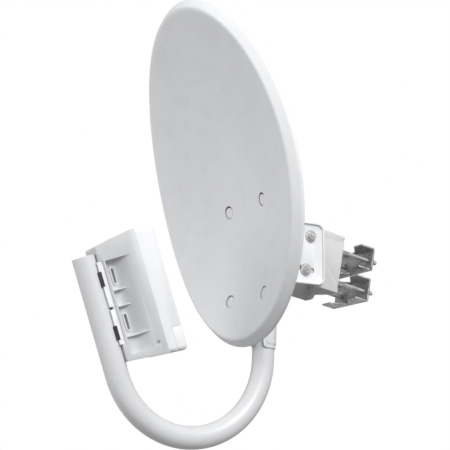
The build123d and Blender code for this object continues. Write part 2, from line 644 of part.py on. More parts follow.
def radio_screws():
    """Screws from inside the radio into the rail's spine."""
    out = []
    for z in MOUNT_SCREW_Z:
        head = rod(4.0, (0, CAVITY_REAR, z), (0, CAVITY_REAR + 3.0, z))
        socket = Pos(0, CAVITY_REAR + 3.0, z) * extrude(Plane.XZ * RegularPolygon(1.7, 6), 1.8,
                                                       both=True)
        shank = rod(2.0, (0, RAIL_FACE + 0.8, z), (0, CAVITY_REAR + 0.5, z))
        out.append(radio_frame * (head + shank - socket))
    return out


# ---- radio ----
def radio_bottom(y):
    """The radio's slanted underside."""
    return 18.5 - 0.09 * (y - 14.0)


def radio_top(y):
    """The radio's top slopes up from the arm, then runs level."""
    return RADIO_TOP - max(0.0, RADIO_TOP_SLANT_END - y) * 0.21


def end_profile(y0, y1, inset, half_width, rear_radius=0.0):
    """Solid between the radio's underside and top, from y0 to y1."""
    rows = [y0, min(max(y0, RADIO_TOP_SLANT_END), y1), y1]
    top = [(y, radio_top(y) - inset) for y in dict.fromkeys(rows)]
    bottom = [(y1, radio_bottom(y1) + inset), (y0, radio_bottom(y0) + inset)]
    outline = make_face(Polyline(*top, *bottom, close=True))
    if rear_radius:
        outline = fillet(outline.vertices().sort_by(Axis.X)[:2], rear_radius)
    return extrude(Plane.YZ * outline, half_width, both=True)


flare_end_x = RADIO_HALF_WIDTH - HOUSING_BLEND * (1 - cos(radians(HOUSING_LEAN)))
flare_end_y = RADIO_JOIN - HOUSING_BLEND * sin(radians(HOUSING_LEAN))


def flare_x(y):
    """Half width of the housing's flared side, out from the arm's axis."""
    return flare_end_x - (flare_end_y - y) * tan(radians(HOUSING_LEAN))


def housing_body():
    """Flared sides that run smoothly into the radome's straight ones."""
    rear, end = (flare_x(HOUSING_REAR), HOUSING_REAR), (flare_end_x, flare_end_y)
    join = (RADIO_HALF_WIDTH, RADIO_JOIN)
    blend = TangentArc(end, join, tangent=(sin(radians(HOUSING_LEAN)), cos(radians(HOUSING_LEAN))))
    lines = [*Polyline((0, HOUSING_REAR), rear, end).edges(), *blend.edges(),
             *Polyline(join, (0, RADIO_JOIN), (0, HOUSING_REAR)).edges()]
    half = extrude(make_face(Wire(lines)), 260)
    body = half + mirror(half, Plane.YZ)
    return body & end_profile(HOUSING_REAR, RADIO_JOIN, 0, 60, HOUSING_END_RADIUS)


def side_pocket(low, high, depth_x):
    """Pocket in the flared side, its floor sweeping out to meet the side smoothly."""
    start, end = (depth_x, 34.0), (flare_x(62.0), 62.0)
    sweep_out = Bezier(start, (depth_x, 46.0), (flare_x(52.0) - 2.5, 52.0), end)
    lines = [*Polyline((60, POCKET_REAR), (depth_x, POCKET_REAR), start).edges(),
             *sweep_out.edges(), *Polyline(end, (60, 62.0), (60, POCKET_REAR)).edges()]
    return Pos(0, 0, low) * extrude(make_face(Wire(lines)), high - low)


def rear_housing():
    body = housing_body()
    floor = HOUSING_FLOOR
    cavity = make_face(Polyline((-33.5, floor), (33.5, floor), (40.0, RADIO_JOIN + 1),
                                (-40.0, RADIO_JOIN + 1), close=True))
    cavity = extrude(cavity, 260) & end_profile(floor, RADIO_JOIN + 1, RADIO_WALL, 60)
    body -= fillet(cavity.edges().filter_by(Axis.Y, tolerance=25), 3.5)
    body -= block(-10, 10, CAVITY_REAR, floor + 1, 30, 196)
    pocket = side_pocket(RIB_Z[1], RIB_Z[-1], POCKET_FACE)
    shallow = side_pocket(RIB_Z[0], RIB_Z[1] - RIB_THICKNESS, RIB_FACE - 1.0)
    body -= pocket + shallow
    body -= mirror(pocket + shallow, Plane.YZ)
    for z in RIB_Z[1:-1]:
        rib = block(POCKET_FACE - 1, RIB_FACE, POCKET_REAR - 1, 50.0, z - RIB_THICKNESS / 2,
                    z + RIB_THICKNESS / 2)
        body += rib
        body += mirror(rib, Plane.YZ)
    for low, high in BAND_SLOTS:
        boss = side_slot(4.8, low - 3.0, high + 3.0, POCKET_FACE - 1, POCKET_FACE + 1.4)
        body += boss
        body += mirror(boss, Plane.YZ)
        body -= side_slot(2.1, low, high, -30, 30)
    body -= Pos(0, 0, RAIL_TOP / 2) * Cylinder(TUBE_RADIUS + FIT_GAP, 400)
    body -= block(-60, 60, 0, RAIL_FACE, RAIL_BOTTOM, RAIL_TOP)
    spine, margin = RAIL_SPINE_HALF_WIDTH + FIT_GAP, RAIL_SPINE_MARGIN - FIT_GAP
    body -= block(-spine, spine, RAIL_FACE - 1, RAIL_SPINE_FACE + FIT_GAP,
                  RAIL_BOTTOM + margin, RAIL_TOP - margin)
    for z in MOUNT_SCREW_Z:
        body -= rod(2.2, (0, RAIL_FACE, z), (0, CAVITY_REAR + 1, z))
    for z in BOARD_POST_Z:
        for s in (-1, 1):
            x = s * BOARD_POST_X
            body += rod(3.6, (x, floor - 0.5, z), (x, BOARD_Y, z)) - rod(1.75, (x, floor + 0.5, z),
                                                                        (x, BOARD_Y + 1, z))
    for s in (-1, 1):
        body -= rod(SIDE_SCREW_HEAD + FIT_GAP, (s * SIDE_SCREW_SEAT, SIDE_SCREW_Y, SIDE_SCREW_Z),
                    (s * 45, SIDE_SCREW_Y, SIDE_SCREW_Z))
        body -= rod(1.7, (s * 33, SIDE_SCREW_Y, SIDE_SCREW_Z), (s * 45, SIDE_SCREW_Y, SIDE_SCREW_Z))
    body -= rim_ring(1.0)
    return radio_frame * body


def side_slot(half, low, high, x0, x1, y=BAND_SLOT_Y):
    """Round-ended bar along the radio, between two X planes."""
    bar = SlotOverall(high - low, 2 * half)
    plane = Plane(origin=(x0, y, (low + high) / 2), x_dir=(0, 0, 1), z_dir=(1, 0, 0))
    return extrude(plane * bar, x1 - x0)


def radome_shell():
    """Front half of the radio as a hollow rounded box, before the port opening is cut."""
    def form(inset, start):
        half = RADIO_HALF_WIDTH - inset
        body = end_profile(start, RADIO_FRONT - inset, inset - 0.8, half)
        body = fillet(body.edges().filter_by(Axis.Y, tolerance=12), 8.0 - inset)
        return fillet(body.faces().sort_by(Axis.Y)[-1].edges(), 7.0 - inset)
    return form(0, RADIO_JOIN) - form(RADIO_WALL, RADIO_JOIN - 1)


def port_tongues(grow):
    """Two tongues at the top of the port cover, which tuck under the radome."""
    x, y = PORT_TONGUE_X, PORT_BACK + 9.0
    return [block(s * x - 5 - grow, s * x + 5 + grow, y - 1 - grow, y + 1 + grow,
                  PORT_TOP - 4, PORT_TOP + 2.0 + grow) for s in (-1, 1)]


def radome():
    w = RADIO_WALL
    shell = radome_shell()
    body = shell - block(-60, 60, PORT_BACK, 140, 0, PORT_TOP)
    side = RADIO_HALF_WIDTH - w / 2
    body += block(-side, side, PORT_BACK - w, PORT_BACK, radio_bottom(PORT_BACK) + w / 2, PORT_TOP + w)
    body += block(-side, side, PORT_BACK - w, RADIO_FRONT - w / 2, PORT_TOP, PORT_TOP + w)
    body -= block(-6.5, 6.5, PORT_BACK - 4, PORT_BACK + 1, 30.0, 44.0)
    for tongue in port_tongues(FIT_GAP):
        body -= tongue
    for s in (-1, 1):
        inside, outside = SIDE_SCREW_SEAT - 6.2, SIDE_SCREW_SEAT - 3.4
        tab = block(s * inside, s * outside, SIDE_SCREW_Y - 4.5, RADIO_JOIN + 4,
                    SIDE_SCREW_Z - 5, SIDE_SCREW_Z + 5)
        tab += block(s * inside, s * side, RADIO_JOIN + 0.2, RADIO_JOIN + 4,
                     SIDE_SCREW_Z - 5, SIDE_SCREW_Z + 5)
        tab -= rod(1.55, (s * 30, SIDE_SCREW_Y, SIDE_SCREW_Z), (s * 45, SIDE_SCREW_Y, SIDE_SCREW_Z))
        body += tab
    return radio_frame * body


def port_cover():
    gap = FIT_GAP
    body = radome_shell() & block(-60, 60, PORT_BACK + gap, 140, 0, PORT_TOP - gap)
    notch = rod(5.0, (0, PORT_BACK + 8, 0), (0, PORT_BACK + 8, 20))
    notch += block(-5, 5, PORT_BACK - 1, PORT_BACK + 8, 0, 20)
    body -= notch
    for tongue in port_tongues(0):
        x = tongue.center().X
        web = block(x - 5, x + 5, PORT_BACK + 8, RADIO_FRONT - 1.2, PORT_TOP - 6, PORT_TOP - 3)
        body += tongue + web
    return radio_frame * body


def rim_ring(depth):
    """Ring that follows the middle of the rear housing's rim."""
    low, high = radio_bottom(RADIO_JOIN) + 0.8, RADIO_TOP - 0.8
    plane = Plane(origin=(0, RADIO_JOIN, (low + high) / 2), x_dir=(1, 0, 0), z_dir=(0, 1, 0))
    outer = RectangleRounded(2 * RADIO_HALF_WIDTH - 1.8, high - low, 5.2)
    inner = RectangleRounded(2 * RADIO_HALF_WIDTH - 4.2, high - low - 2.4, 4.0)
    return extrude(plane * (outer - inner), -depth)


def housing_gasket():
    """Rubber ring in the rim of the rear housing, against the radome."""
    return radio_frame * rim_ring(1.0)


def housing_screws():
    def one(s):
        seat, y, z = SIDE_SCREW_SEAT, SIDE_SCREW_Y, SIDE_SCREW_Z
        head = rod(SIDE_SCREW_HEAD, (seat, y, z), (seat + 1.6, y, z))
        head -= Pos(seat + 1.8, y, z) * Box(2.0, 0.8, 3.2)
        head -= Pos(seat + 1.8, y, z) * Box(2.0, 3.2, 0.8)
        return radio_frame * (head + rod(1.5, (seat - 5.5, y, z), (seat + 0.5, y, z)))
    return both_sides(one)


def circuit_board():
    plane = Plane(origin=(0, BOARD_Y, (BOARD_LOW + BOARD_HIGH) / 2), x_dir=(1, 0, 0), z_dir=(0, -1, 0))
    board = extrude(plane * RectangleRounded(62, BOARD_HIGH - BOARD_LOW, 3), -BOARD_SHEET)
    for z in BOARD_POST_Z:
        for s in (-1, 1):
            x = s * BOARD_POST_X
            board -= rod(1.8, (x, BOARD_Y - 2, z), (x, BOARD_Y + 4, z))
    for z, half in ((54.0, 7.0), (90.0, 9.0), (188.0, 6.0)):
        board += block(-half, half, BOARD_Y + BOARD_SHEET, BOARD_Y + 4.0, z - half, z + half)
    return radio_frame * board


def board_pillars():
    """Threaded pillars that clamp the circuit board and carry the antenna panel."""
    out = []
    for z in BOARD_POST_Z:
        for s in (-1, 1):
            x = s * BOARD_POST_X
            pillar = rod(1.7, (x, BOARD_Y - 4, z), (x, BOARD_Y + 2, z))
            pillar += rod(3.2, (x, BOARD_Y + BOARD_SHEET, z), (x, ANTENNA_Y, z))
            pillar -= rod(1.3, (x, ANTENNA_Y - 7, z), (x, ANTENNA_Y + 1, z))
            out.append(radio_frame * pillar)
    return out


def antenna_screws():
    out = []
    for z in BOARD_POST_Z:
        for s in (-1, 1):
            x, face = s * BOARD_POST_X, ANTENNA_Y + BOARD_SHEET
            screw = rod(2.6, (x, face, z), (x, face + 1.6, z)) + rod(1.25, (x, face - 7, z), (x, face, z))
            out.append(radio_frame * screw)
    return out


def shield_can():
    can = block(-26, 26, BOARD_Y + BOARD_SHEET, BOARD_Y + 9.0, 106, 176)
    can = fillet(can.edges().filter_by(Axis.Y), 2.0)
    can -= block(-25.5, 25.5, BOARD_Y + 1.0, BOARD_Y + 8.5, 106.5, 175.5)
    for i in range(4):
        for j in range(3):
            x, z = -15 + 15 * j, 118 + 15 * i
            can -= rod(1.2, (x, BOARD_Y, z), (x, BOARD_Y + 12, z))
    return radio_frame * can


def antenna_panel():
    """Patch antenna board: ground plane with two raised square patches."""
    low, high = ANTENNA_LOW, BOARD_HIGH
    plane = Plane(origin=(0, ANTENNA_Y, (low + high) / 2), x_dir=(1, 0, 0), z_dir=(0, -1, 0))
    panel = extrude(plane * RectangleRounded(70, high - low, 4), -BOARD_SHEET)
    for z in BOARD_POST_Z:
        for s in (-1, 1):
            panel -= rod(1.4, (s * BOARD_POST_X, ANTENNA_Y - 1, z), (s * BOARD_POST_X, ANTENNA_Y + 3, z))
    for z in PATCH_Z:
        panel += block(-2, 2, ANTENNA_Y + BOARD_SHEET, ANTENNA_Y + 5.0, z - 2, z + 2)
        panel += block(-PATCH_HALF, PATCH_HALF, ANTENNA_Y + 5.0, ANTENNA_Y + 5.8,
                       z - PATCH_HALF, z + PATCH_HALF)
    return radio_frame * panel


def ethernet_jack():
    """Socket in the port compartment, opening downwards."""
    body = block(-8, 8, PORT_BACK, PORT_BACK + 12, *JACK_Z)
    body += block(-6.2, 6.2, PORT_BACK - 3.6, PORT_BACK + 1, 30.3, 43.7)
    body -= block(-5.8, 5.8, PORT_BACK + 1.8, PORT_BACK + 9.8, 25, 40)
    body -= block(-3.2, 3.2, PORT_BACK + 9, PORT_BACK + 11.0, 25, 38)
    for i in range(8):
        x = -3.5 + i
        body += block(x - 0.2, x + 0.2, PORT_BACK + 1.6, PORT_BACK + 2.8, 32, 39)
    return radio_frame * body


# ---- write every node ----
nodes = {
    "mast_bracket": mast_bracket,
    "clamp_bolts": clamp_bolts,
    "clamp_strap_upper": lambda: clamp_strap(1),
    "clamp_strap_lower": lambda: clamp_strap(-1),
    "clamp_washers_upper": lambda: strap_washers(1),
    "clamp_washers_lower": lambda: strap_washers(-1),
    "clamp_nuts_upper": lambda: strap_nuts(1),
    "clamp_nuts_lower": lambda: strap_nuts(-1),
    "pivot_bolts": lambda: side_bolts(PIVOT_Z),
    "pivot_washers": lambda: side_washers(PIVOT_Z),
    "pivot_nuts": lambda: side_nuts(PIVOT_Z),
    "lock_bolts": lambda: side_bolts(-PIVOT_Z),
    "lock_washers": lambda: side_washers(-PIVOT_Z),
    "lock_nuts": lambda: side_nuts(-PIVOT_Z),
    "back_bracket": back_bracket,
    "reflector": reflector,
    "reflector_bolts": dish_bolts,
    "reflector_washers": dish_washers,
    "reflector_nuts": dish_nuts,
    "arm_tube": arm_tube,
    "arm_saddle": arm_saddle,
    "saddle_bolts": saddle_bolts,
    "saddle_nuts": saddle_nuts,
    "arm_bolts": arm_bolts,
    "arm_nuts": arm_nuts,
    "radio_rail": radio_rail,
    "rail_screws": rail_screws,
    "rail_inserts": rail_inserts,
    "rail_pads": rail_pads,
    "radio_screws": radio_screws,
    "rear_housing": rear_housing,
    "radome": radome,
    "port_cover": port_cover,
    "housing_gasket": housing_gasket,
    "housing_screws": housing_screws,
    "circuit_board": circuit_board,
    "board_pillars": board_pillars,
    "antenna_screws": antenna_screws,
    "shield_can": shield_can,
    "antenna_panel": antenna_panel,
    "ethernet_jack": ethernet_jack,
}


def flatten(shape):
    """All solids of a shape, or of a list of shapes, as one compound."""
    pieces = shape if isinstance(shape, list) else [shape]
    solids = [solid for piece in pieces for solid in piece.solids()]
    return solids[0] if len(solids) == 1 else Compound(children=solids)


os.makedirs("parts", exist_ok=True)
for name, build in nodes.items():
    export_step(flatten(build()), "parts/" + name + ".step")
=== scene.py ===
from math import cos, pi, radians, sin, sqrt, tan

import bmesh
import bpy
from mathutils import Matrix, Vector
from mathutils.geometry import delaunay_2d_cdt

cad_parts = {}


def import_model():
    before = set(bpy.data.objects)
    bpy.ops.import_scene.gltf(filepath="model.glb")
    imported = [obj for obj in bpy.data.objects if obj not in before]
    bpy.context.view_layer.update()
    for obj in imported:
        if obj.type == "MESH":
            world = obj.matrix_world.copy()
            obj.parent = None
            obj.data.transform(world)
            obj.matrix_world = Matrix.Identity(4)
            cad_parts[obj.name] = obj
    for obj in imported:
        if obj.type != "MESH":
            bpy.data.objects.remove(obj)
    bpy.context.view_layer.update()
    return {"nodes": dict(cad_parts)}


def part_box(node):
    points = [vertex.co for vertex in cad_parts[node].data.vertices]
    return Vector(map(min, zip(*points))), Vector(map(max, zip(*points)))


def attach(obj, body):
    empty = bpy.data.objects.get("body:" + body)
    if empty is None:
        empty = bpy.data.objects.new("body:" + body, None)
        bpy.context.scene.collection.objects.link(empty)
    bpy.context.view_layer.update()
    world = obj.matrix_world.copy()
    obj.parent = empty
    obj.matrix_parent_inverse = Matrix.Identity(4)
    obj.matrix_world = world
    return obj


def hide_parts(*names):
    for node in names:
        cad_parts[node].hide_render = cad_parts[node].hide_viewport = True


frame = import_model()
MM = 0.001

# ---- the design's driving dimensions, in millimetres, as in the CAD ----
PIVOT = Vector((0.0, -94.2, 30.65))
BASE_TILT = radians(11.0)
DISH_BOLT_X = 57.1
DISH_BOLT_W = (-108.4, 52.9)
DIMPLE_FLOOR = -93.4
DIMPLE_RADIUS = 10.8
DIMPLE_RINGS = (            # mesh rings round a dimple's centre: radius and number of points
    (4.0, 10), (8.0, 20), (9.6, 30), (10.2, 44), (10.35, 44), (10.5, 44), (10.65, 44), (10.8, 44),
    (10.95, 44), (11.1, 44), (11.6, 44), (12.6, 40), (14.5, 36), (17.0, 28), (20.5, 24))
RIM_TILT = radians(24.73)
RIM_HALF_HEIGHT = 291.8
RIM_HALF_WIDTH = 217.6
RIM_Y, RIM_Z = -294.4, 94.8
FOCAL = 215.6
DISH_SHEET = 1.4
LIP_OUT, LIP_BACK, LIP_HEM = 14.9, 12.8, 3.5
LIP_FOLD = 4.5              # half width of the fold between the dish and its turned rim
LIP_BEND = 2.5              # the turned rim's outer bend starts this far before its corner
DISH_BOLT_LENGTH = 20.0
TUBE_RADIUS, TUBE_WALL = 19.05, 1.6
BEND_Y, BEND_Z, BEND_RADIUS = -256.3, -214.1, 139.1
UPPER_LEAN, RADIO_LEAN = radians(8.4), radians(29.93)
UPPER_LIMB, RADIO_LIMB = 158.0, 197.3
BOLT_RADIUS = 4.0
BOLT_PITCH = 1.25
BOLT_HEAD_HEIGHT = 4.2
THREAD_DEPTH = 0.55
BRACKET_SHEET = 3.0
CLAMP_BOLT_X = 36.2
CLAMP_HEAD_RADIUS, PIVOT_HEAD_RADIUS, DISH_HEAD_RADIUS = 7.5, 10.3, 9.7

# ---- studio, in metres ----
CAMERA_PLACE = (1.5758, -1.0185, -0.5593)
CAMERA_RIGHT = (0.4869, 0.8574, 0.1666)
CAMERA_UP = (0.1971, -0.2937, 0.9354)
CAMERA_BACK = (0.8509, -0.4226, -0.3120)
CAMERA_LENS, CAMERA_SENSOR = 85.36, 36.0
LIGHT_TARGET = (0.0, -0.2, 0.0)
FLOOR_LEVEL, FLOOR_REACH = -0.92, 6.0
WORLD_LEVEL = 0.385
WORLD_LEAN = (0.08, -0.10, 0.17)


def link(obj):
    bpy.context.scene.collection.objects.link(obj)
    return obj


# ---- materials ----
class Nodes:
    """Small helper that builds a new material's node tree, or adds to one that is given."""

    def __init__(self, name, material=None):
        self.material = material or bpy.data.materials.new(name)
        self.material.use_nodes = True
        self.tree = self.material.node_tree
        self.shader = next(n for n in self.tree.nodes if n.type == "BSDF_PRINCIPLED")
        self.place = self.add("ShaderNodeTexCoord").outputs["Object"]

    def add(self, kind, **settings):
        node = self.tree.nodes.new(kind)
        for key, value in settings.items():
            setattr(node, key, value)
        return node

    def join(self, source, target):
        self.tree.links.new(source, target)

    def noise(self, scale, detail=3.0, rough=0.55, stretch=None):
        node = self.add("ShaderNodeTexNoise")
        node.inputs["Scale"].default_value = scale
        node.inputs["Detail"].default_value = detail
        node.inputs["Roughness"].default_value = rough
        source = self.place
        if stretch:
            mapping = self.add("ShaderNodeMapping")
            mapping.inputs["Scale"].default_value = stretch
            self.join(self.place, mapping.inputs["Vector"])
            source = mapping.outputs["Vector"]
        self.join(source, node.inputs["Vector"])
        return node.outputs["Fac"]

    def cells(self, scale, feature="F1", output="Distance", randomness=1.0):
        node = self.add("ShaderNodeTexVoronoi", feature=feature)
        node.inputs["Scale"].default_value = scale
        node.inputs["Randomness"].default_value = randomness
        self.join(self.place, node.inputs["Vector"])
        return node.outputs[output]

    def ramp(self, source, stops):
        node = self.add("ShaderNodeValToRGB")
        elements = node.color_ramp.elements
        while len(elements) < len(stops):
            elements.new(0.5)
        for element, (at, colour) in zip(elements, stops):
            element.position = at
            element.color = (*colour, 1.0)
        self.join(source, node.inputs["Fac"])
        return node.outputs["Color"]

    def span(self, source, low, high, from_low=0.0, from_high=1.0):
        node = self.add("ShaderNodeMapRange")
        for key, value in (("From Min", from_low), ("From Max", from_high),
                           ("To Min", low), ("To Max", high)):
            node.inputs[key].default_value = value
        self.join(source, node.inputs["Value"])
        return node.outputs["Result"]

    def mix(self, first, second, share, mode="MIX"):
        node = self.add("ShaderNodeMixRGB", blend_type=mode)
        for socket, value in zip(("Fac", "Color1", "Color2"), (share, first, second)):
            if isinstance(value, (int, float)):
                node.inputs[socket].default_value = value
            elif isinstance(value, tuple):
                node.inputs[socket].default_value = (*value, 1.0)
            else:
                self.join(value, node.inputs[socket])
        return node.outputs["Color"]

    def bumps(self, *layers):
        """Each layer is (height source, strength, distance in metres)."""
        normal = None
        for source, strength, distance in layers:
            node = self.add("ShaderNodeBump")
            node.inputs["Strength"].default_value = strength
            node.inputs["Distance"].default_value = distance
            self.join(source, node.inputs["Height"])
            if normal:
                self.join(normal, node.inputs["Normal"])
            normal = node.outputs["Normal"]
        self.join(normal, self.shader.inputs["Normal"])

    def colour(self, source):
        self.join(source, self.shader.inputs["Base Color"])

    def rough(self, source):
        self.join(source, self.shader.inputs["Roughness"])


def grey(value, blue=0.0):
    """sRGB grey, with a little blue, as a linear colour."""
    def linear(c):
        return c / 12.92 if c <= 0.04045 else ((c + 0.055) / 1.055) ** 2.4
    return (linear(value), linear(value + blue * 0.3), linear(value + blue))


def paint(name, tone, blue=0.01, mottle=0.02, peel=1.0, gloss=0.42):
    """Powder coat: orange peel, slight mottling, uneven gloss and a little grime."""
    n = Nodes(name)
    cloud = n.noise(14.0, 5.0, 0.6)
    fine = n.noise(260.0, 2.0)
    base = n.ramp(cloud, [(0.3, grey(tone - mottle, blue)), (0.7, grey(tone + mottle * 0.6, blue))])
    speck = n.span(fine, 0.0, 1.0, 0.64, 0.78)
    base = n.mix(base, grey(tone - 0.10, blue * 0.5), n.span(speck, 0.0, 0.10))
    grime = n.span(n.noise(38.0, 6.0, 0.7), 0.0, 0.16, 0.52, 0.80)
    n.colour(n.mix(base, (0.47, 0.45, 0.42), grime))
    n.rough(n.span(n.noise(60.0, 4.0), gloss - 0.07, gloss + 0.10))
    n.shader.inputs["Coat Weight"].default_value = 0.12
    n.shader.inputs["Coat Roughness"].default_value = 0.3
    n.bumps((n.noise(900.0, 2.0), 0.10 * peel, 0.0002), (n.noise(160.0, 2.0), 0.12 * peel, 0.0004),
            (n.noise(22.0, 2.0), 0.10 * peel, 0.0012))
    return n.material


def painted_shade_rings(material, centres, inner, outer):
    """Painted shade: a dark ring in the paint colour over the shadowed groove round each bolt head;
    sizes in millimetres.
    """
    n = Nodes(material.name, material)
    flat = n.add("ShaderNodeVectorMath", operation="MULTIPLY")
    flat.inputs[1].default_value = (1.0, 0.0, 1.0)
    n.join(n.place, flat.inputs[0])
    base = n.shader.inputs["Base Color"].links[0].from_socket
    for x, z in centres:
        away = n.add("ShaderNodeVectorMath", operation="DISTANCE")
        away.inputs[1].default_value = (x * MM, 0.0, z * MM)
        n.join(flat.outputs["Vector"], away.inputs[0])
        distance = away.outputs["Value"]
        inside = n.span(distance, 0.0, 1.0, (inner - 0.3) * MM, (inner + 0.1) * MM)
        outside = n.span(distance, 1.0, 0.0, (outer - 0.1) * MM, (outer + 0.5) * MM)
        both = n.add("ShaderNodeMath", operation="MULTIPLY")
        n.join(inside, both.inputs[0])
        n.join(outside, both.inputs[1])
        # dark grey of the painted shade ring in the groove round the bolt head
        base = n.mix(base, (0.20, 0.20, 0.21), both.outputs["Value"])
    n.colour(base)
    return material


def plastic(name, tone, blue=0.012):
    """Moulded plastic with a fine spark-eroded grain."""
    n = Nodes(name)
    cloud = n.noise(9.0, 4.0)
    base = n.ramp(cloud, [(0.3, grey(tone - 0.012, blue)), (0.7, grey(tone + 0.010, blue))])
    dust = n.span(n.noise(70.0, 6.0, 0.7), 0.0, 0.12, 0.55, 0.8)
    n.colour(n.mix(base, (0.42, 0.41, 0.39), dust))
    n.rough(n.span(n.noise(120.0, 3.0), 0.46, 0.60))
    n.shader.inputs["Subsurface Weight"].default_value = 0.04
    n.shader.inputs["Subsurface Radius"].default_value = (0.001, 0.001, 0.001)
    n.bumps((n.cells(2200.0, output="Distance"), 0.10, 0.00012), (n.noise(500.0, 2.0), 0.08, 0.0002))
    return n.material


def galvanised(name, dark=0.30, light=0.56):
    """Hot-dip zinc: dull spangle, white bloom and runs."""
    n = Nodes(name)
    spangle = n.cells(160.0, output="Color")
    flake = n.mix(spangle, n.cells(420.0, output="Color"), 0.35)
    tone = n.ramp(flake, [(0.2, (dark, dark, dark * 1.03)), (0.8, (light, light, light * 1.02))])
    bloom = n.span(n.noise(55.0, 7.0, 0.7), 0.0, 0.55, 0.50, 0.74)
    n.colour(n.mix(tone, (0.60, 0.60, 0.58), bloom))
    n.shader.inputs["Metallic"].default_value = 0.85
    n.rough(n.span(n.noise(90.0, 5.0), 0.34, 0.62))
    n.bumps((n.noise(300.0, 4.0), 0.16, 0.0003), (n.noise(60.0, 3.0), 0.16, 0.0006))
    return n.material


def zinc(name, tone=0.50, warm=0.0):
    """Plated fastener: fine turning marks and patchy bloom."""
    n = Nodes(name)
    patch = n.noise(120.0, 5.0, 0.65)
    low, high = tone * 0.72, tone * 1.2
    n.colour(n.ramp(patch, [(0.25, (low * (1 + warm), low, low * (1 - warm))),
                            (0.75, (high * (1 + warm * 0.5), high, high * (1 - warm)))]))
    n.shader.inputs["Metallic"].default_value = 0.95
    n.rough(n.span(n.noise(200.0, 4.0), 0.36, 0.58))
    n.bumps((n.noise(600.0, 3.0, stretch=(1.0, 0.15, 1.0)), 0.12, 0.0002))
    return n.material


def rubber(name):
    n = Nodes(name)
    n.colour(n.ramp(n.noise(80.0), [(0.3, (0.012, 0.012, 0.013)), (0.7, (0.03, 0.03, 0.03))]))
    n.rough(n.span(n.noise(90.0), 0.55, 0.8))
    n.bumps((n.noise(700.0), 0.2, 0.0002))
    return n.material


def board(name):
    """Solder mask over tracks: two greens, with gold pads between."""
    n = Nodes(name)
    track = n.span(n.cells(330.0, feature="DISTANCE_TO_EDGE"), 0.0, 1.0, 0.04, 0.07)
    mask = n.mix((0.012, 0.11, 0.045), (0.02, 0.18, 0.07), track)
    pad = n.span(n.cells(210.0), 1.0, 0.0, 0.10, 0.14)
    n.colour(n.mix(mask, (0.66, 0.46, 0.18), pad))
    n.rough(n.span(n.noise(100.0), 0.25, 0.4))
    n.bumps((track, 0.3, 0.0001))
    return n.material


DISH = paint("dish_paint", 0.90, 0.012, 0.012, 1.0, 0.48)
ARM = paint("arm_paint", 0.850, 0.010, 0.012, 0.8, 0.36)
WHITE = paint("bracket_paint", 0.90, 0.010, 0.012, 0.8, 0.36)
GREY = paint("mount_paint", 0.80, 0.004, 0.02, 1.0, 0.44)
STRAP = galvanised("strap_zinc")
PLATED = zinc("plated_steel", 0.46, 0.02)
BRIGHT = zinc("bright_zinc", 0.62)
BRASS = zinc("turned_brass", 0.55, 0.35)
TIN = zinc("tinned_steel", 0.62)
HOUSING = plastic("housing_plastic", 0.800)
RADOME = plastic("radome_plastic", 0.905)
# black rubber of the ethernet jack, also used on the rail pads as painted shade in the gaps between
# rail and tube
BLACK_RUBBER_AND_GAP_SHADE = rubber("jack_black")
GASKET = rubber("gasket_rubber")
BOARD = board("board_green")

NODE_MATERIALS = {
    "mast_bracket": GREY, "back_bracket": WHITE, "arm_saddle": WHITE, "arm_tube": ARM,
    "reflector": DISH, "reflector_bolts": DISH,
    "clamp_strap_upper": STRAP, "clamp_strap_lower": STRAP,
    "radio_rail": RADOME, "rear_housing": HOUSING, "radome": RADOME, "port_cover": RADOME,
    "housing_gasket": GASKET, "ethernet_jack": BLACK_RUBBER_AND_GAP_SHADE, "circuit_board": BOARD, "antenna_panel": BOARD,
    "shield_can": TIN, "board_pillars": BRASS,
    "lock_washers": BRIGHT, "lock_nuts": BRIGHT, "lock_bolts": BRIGHT,
    "pivot_washers": BRIGHT, "pivot_nuts": BRIGHT, "pivot_bolts": BRIGHT,
    # the rail pads are a dark sheet put in the deep gaps between the rail and the tube as painted
    # shade
    "rail_pads": BLACK_RUBBER_AND_GAP_SHADE,
}


def dress(obj, material):
    obj.data.materials.clear()
    obj.data.materials.append(material)


for name, obj in frame["nodes"].items():
    dress(obj, NODE_MATERIALS.get(name, PLATED))


# ---- mesh helpers ----
def mesh_piece(name, points, faces, material, body, smooth=40.0):
    """New object from points in millimetres, shaded smooth except at sharp edges."""
    mesh = bpy.data.meshes.new(name)
    mesh.from_pydata([tuple(c * MM for c in p) for p in points], [], faces)
    mesh.validate()
    obj = link(bpy.data.objects.new(name, mesh))
    dress(obj, material)
    clean(obj, smooth)
    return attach(obj, body)


def clean(obj, smooth):
    """Outward normals, and shading that is smooth except at edges over the given angle."""
    mesh = obj.data
    work = bmesh.new()
    work.from_mesh(mesh)
    bmesh.ops.remove_doubles(work, verts=work.verts, dist=2e-6)
    bmesh.ops.recalc_face_normals(work, faces=work.faces)
    for edge in work.edges:
        edge.smooth = len(edge.link_faces) != 2 or edge.calc_face_angle(0.0) < radians(smooth)
    work.to_mesh(mesh)
    work.free()
    mesh.polygons.foreach_set("use_smooth", [True] * len(mesh.polygons))
    mesh.update()


def apply_modifiers(obj):
    """Bakes the modifiers into the mesh."""
    graph = bpy.context.evaluated_depsgraph_get()
    mesh = bpy.data.meshes.new_from_object(obj.evaluated_get(graph))
    old = obj.data
    obj.modifiers.clear()
    obj.data = mesh
    bpy.data.meshes.remove(old)


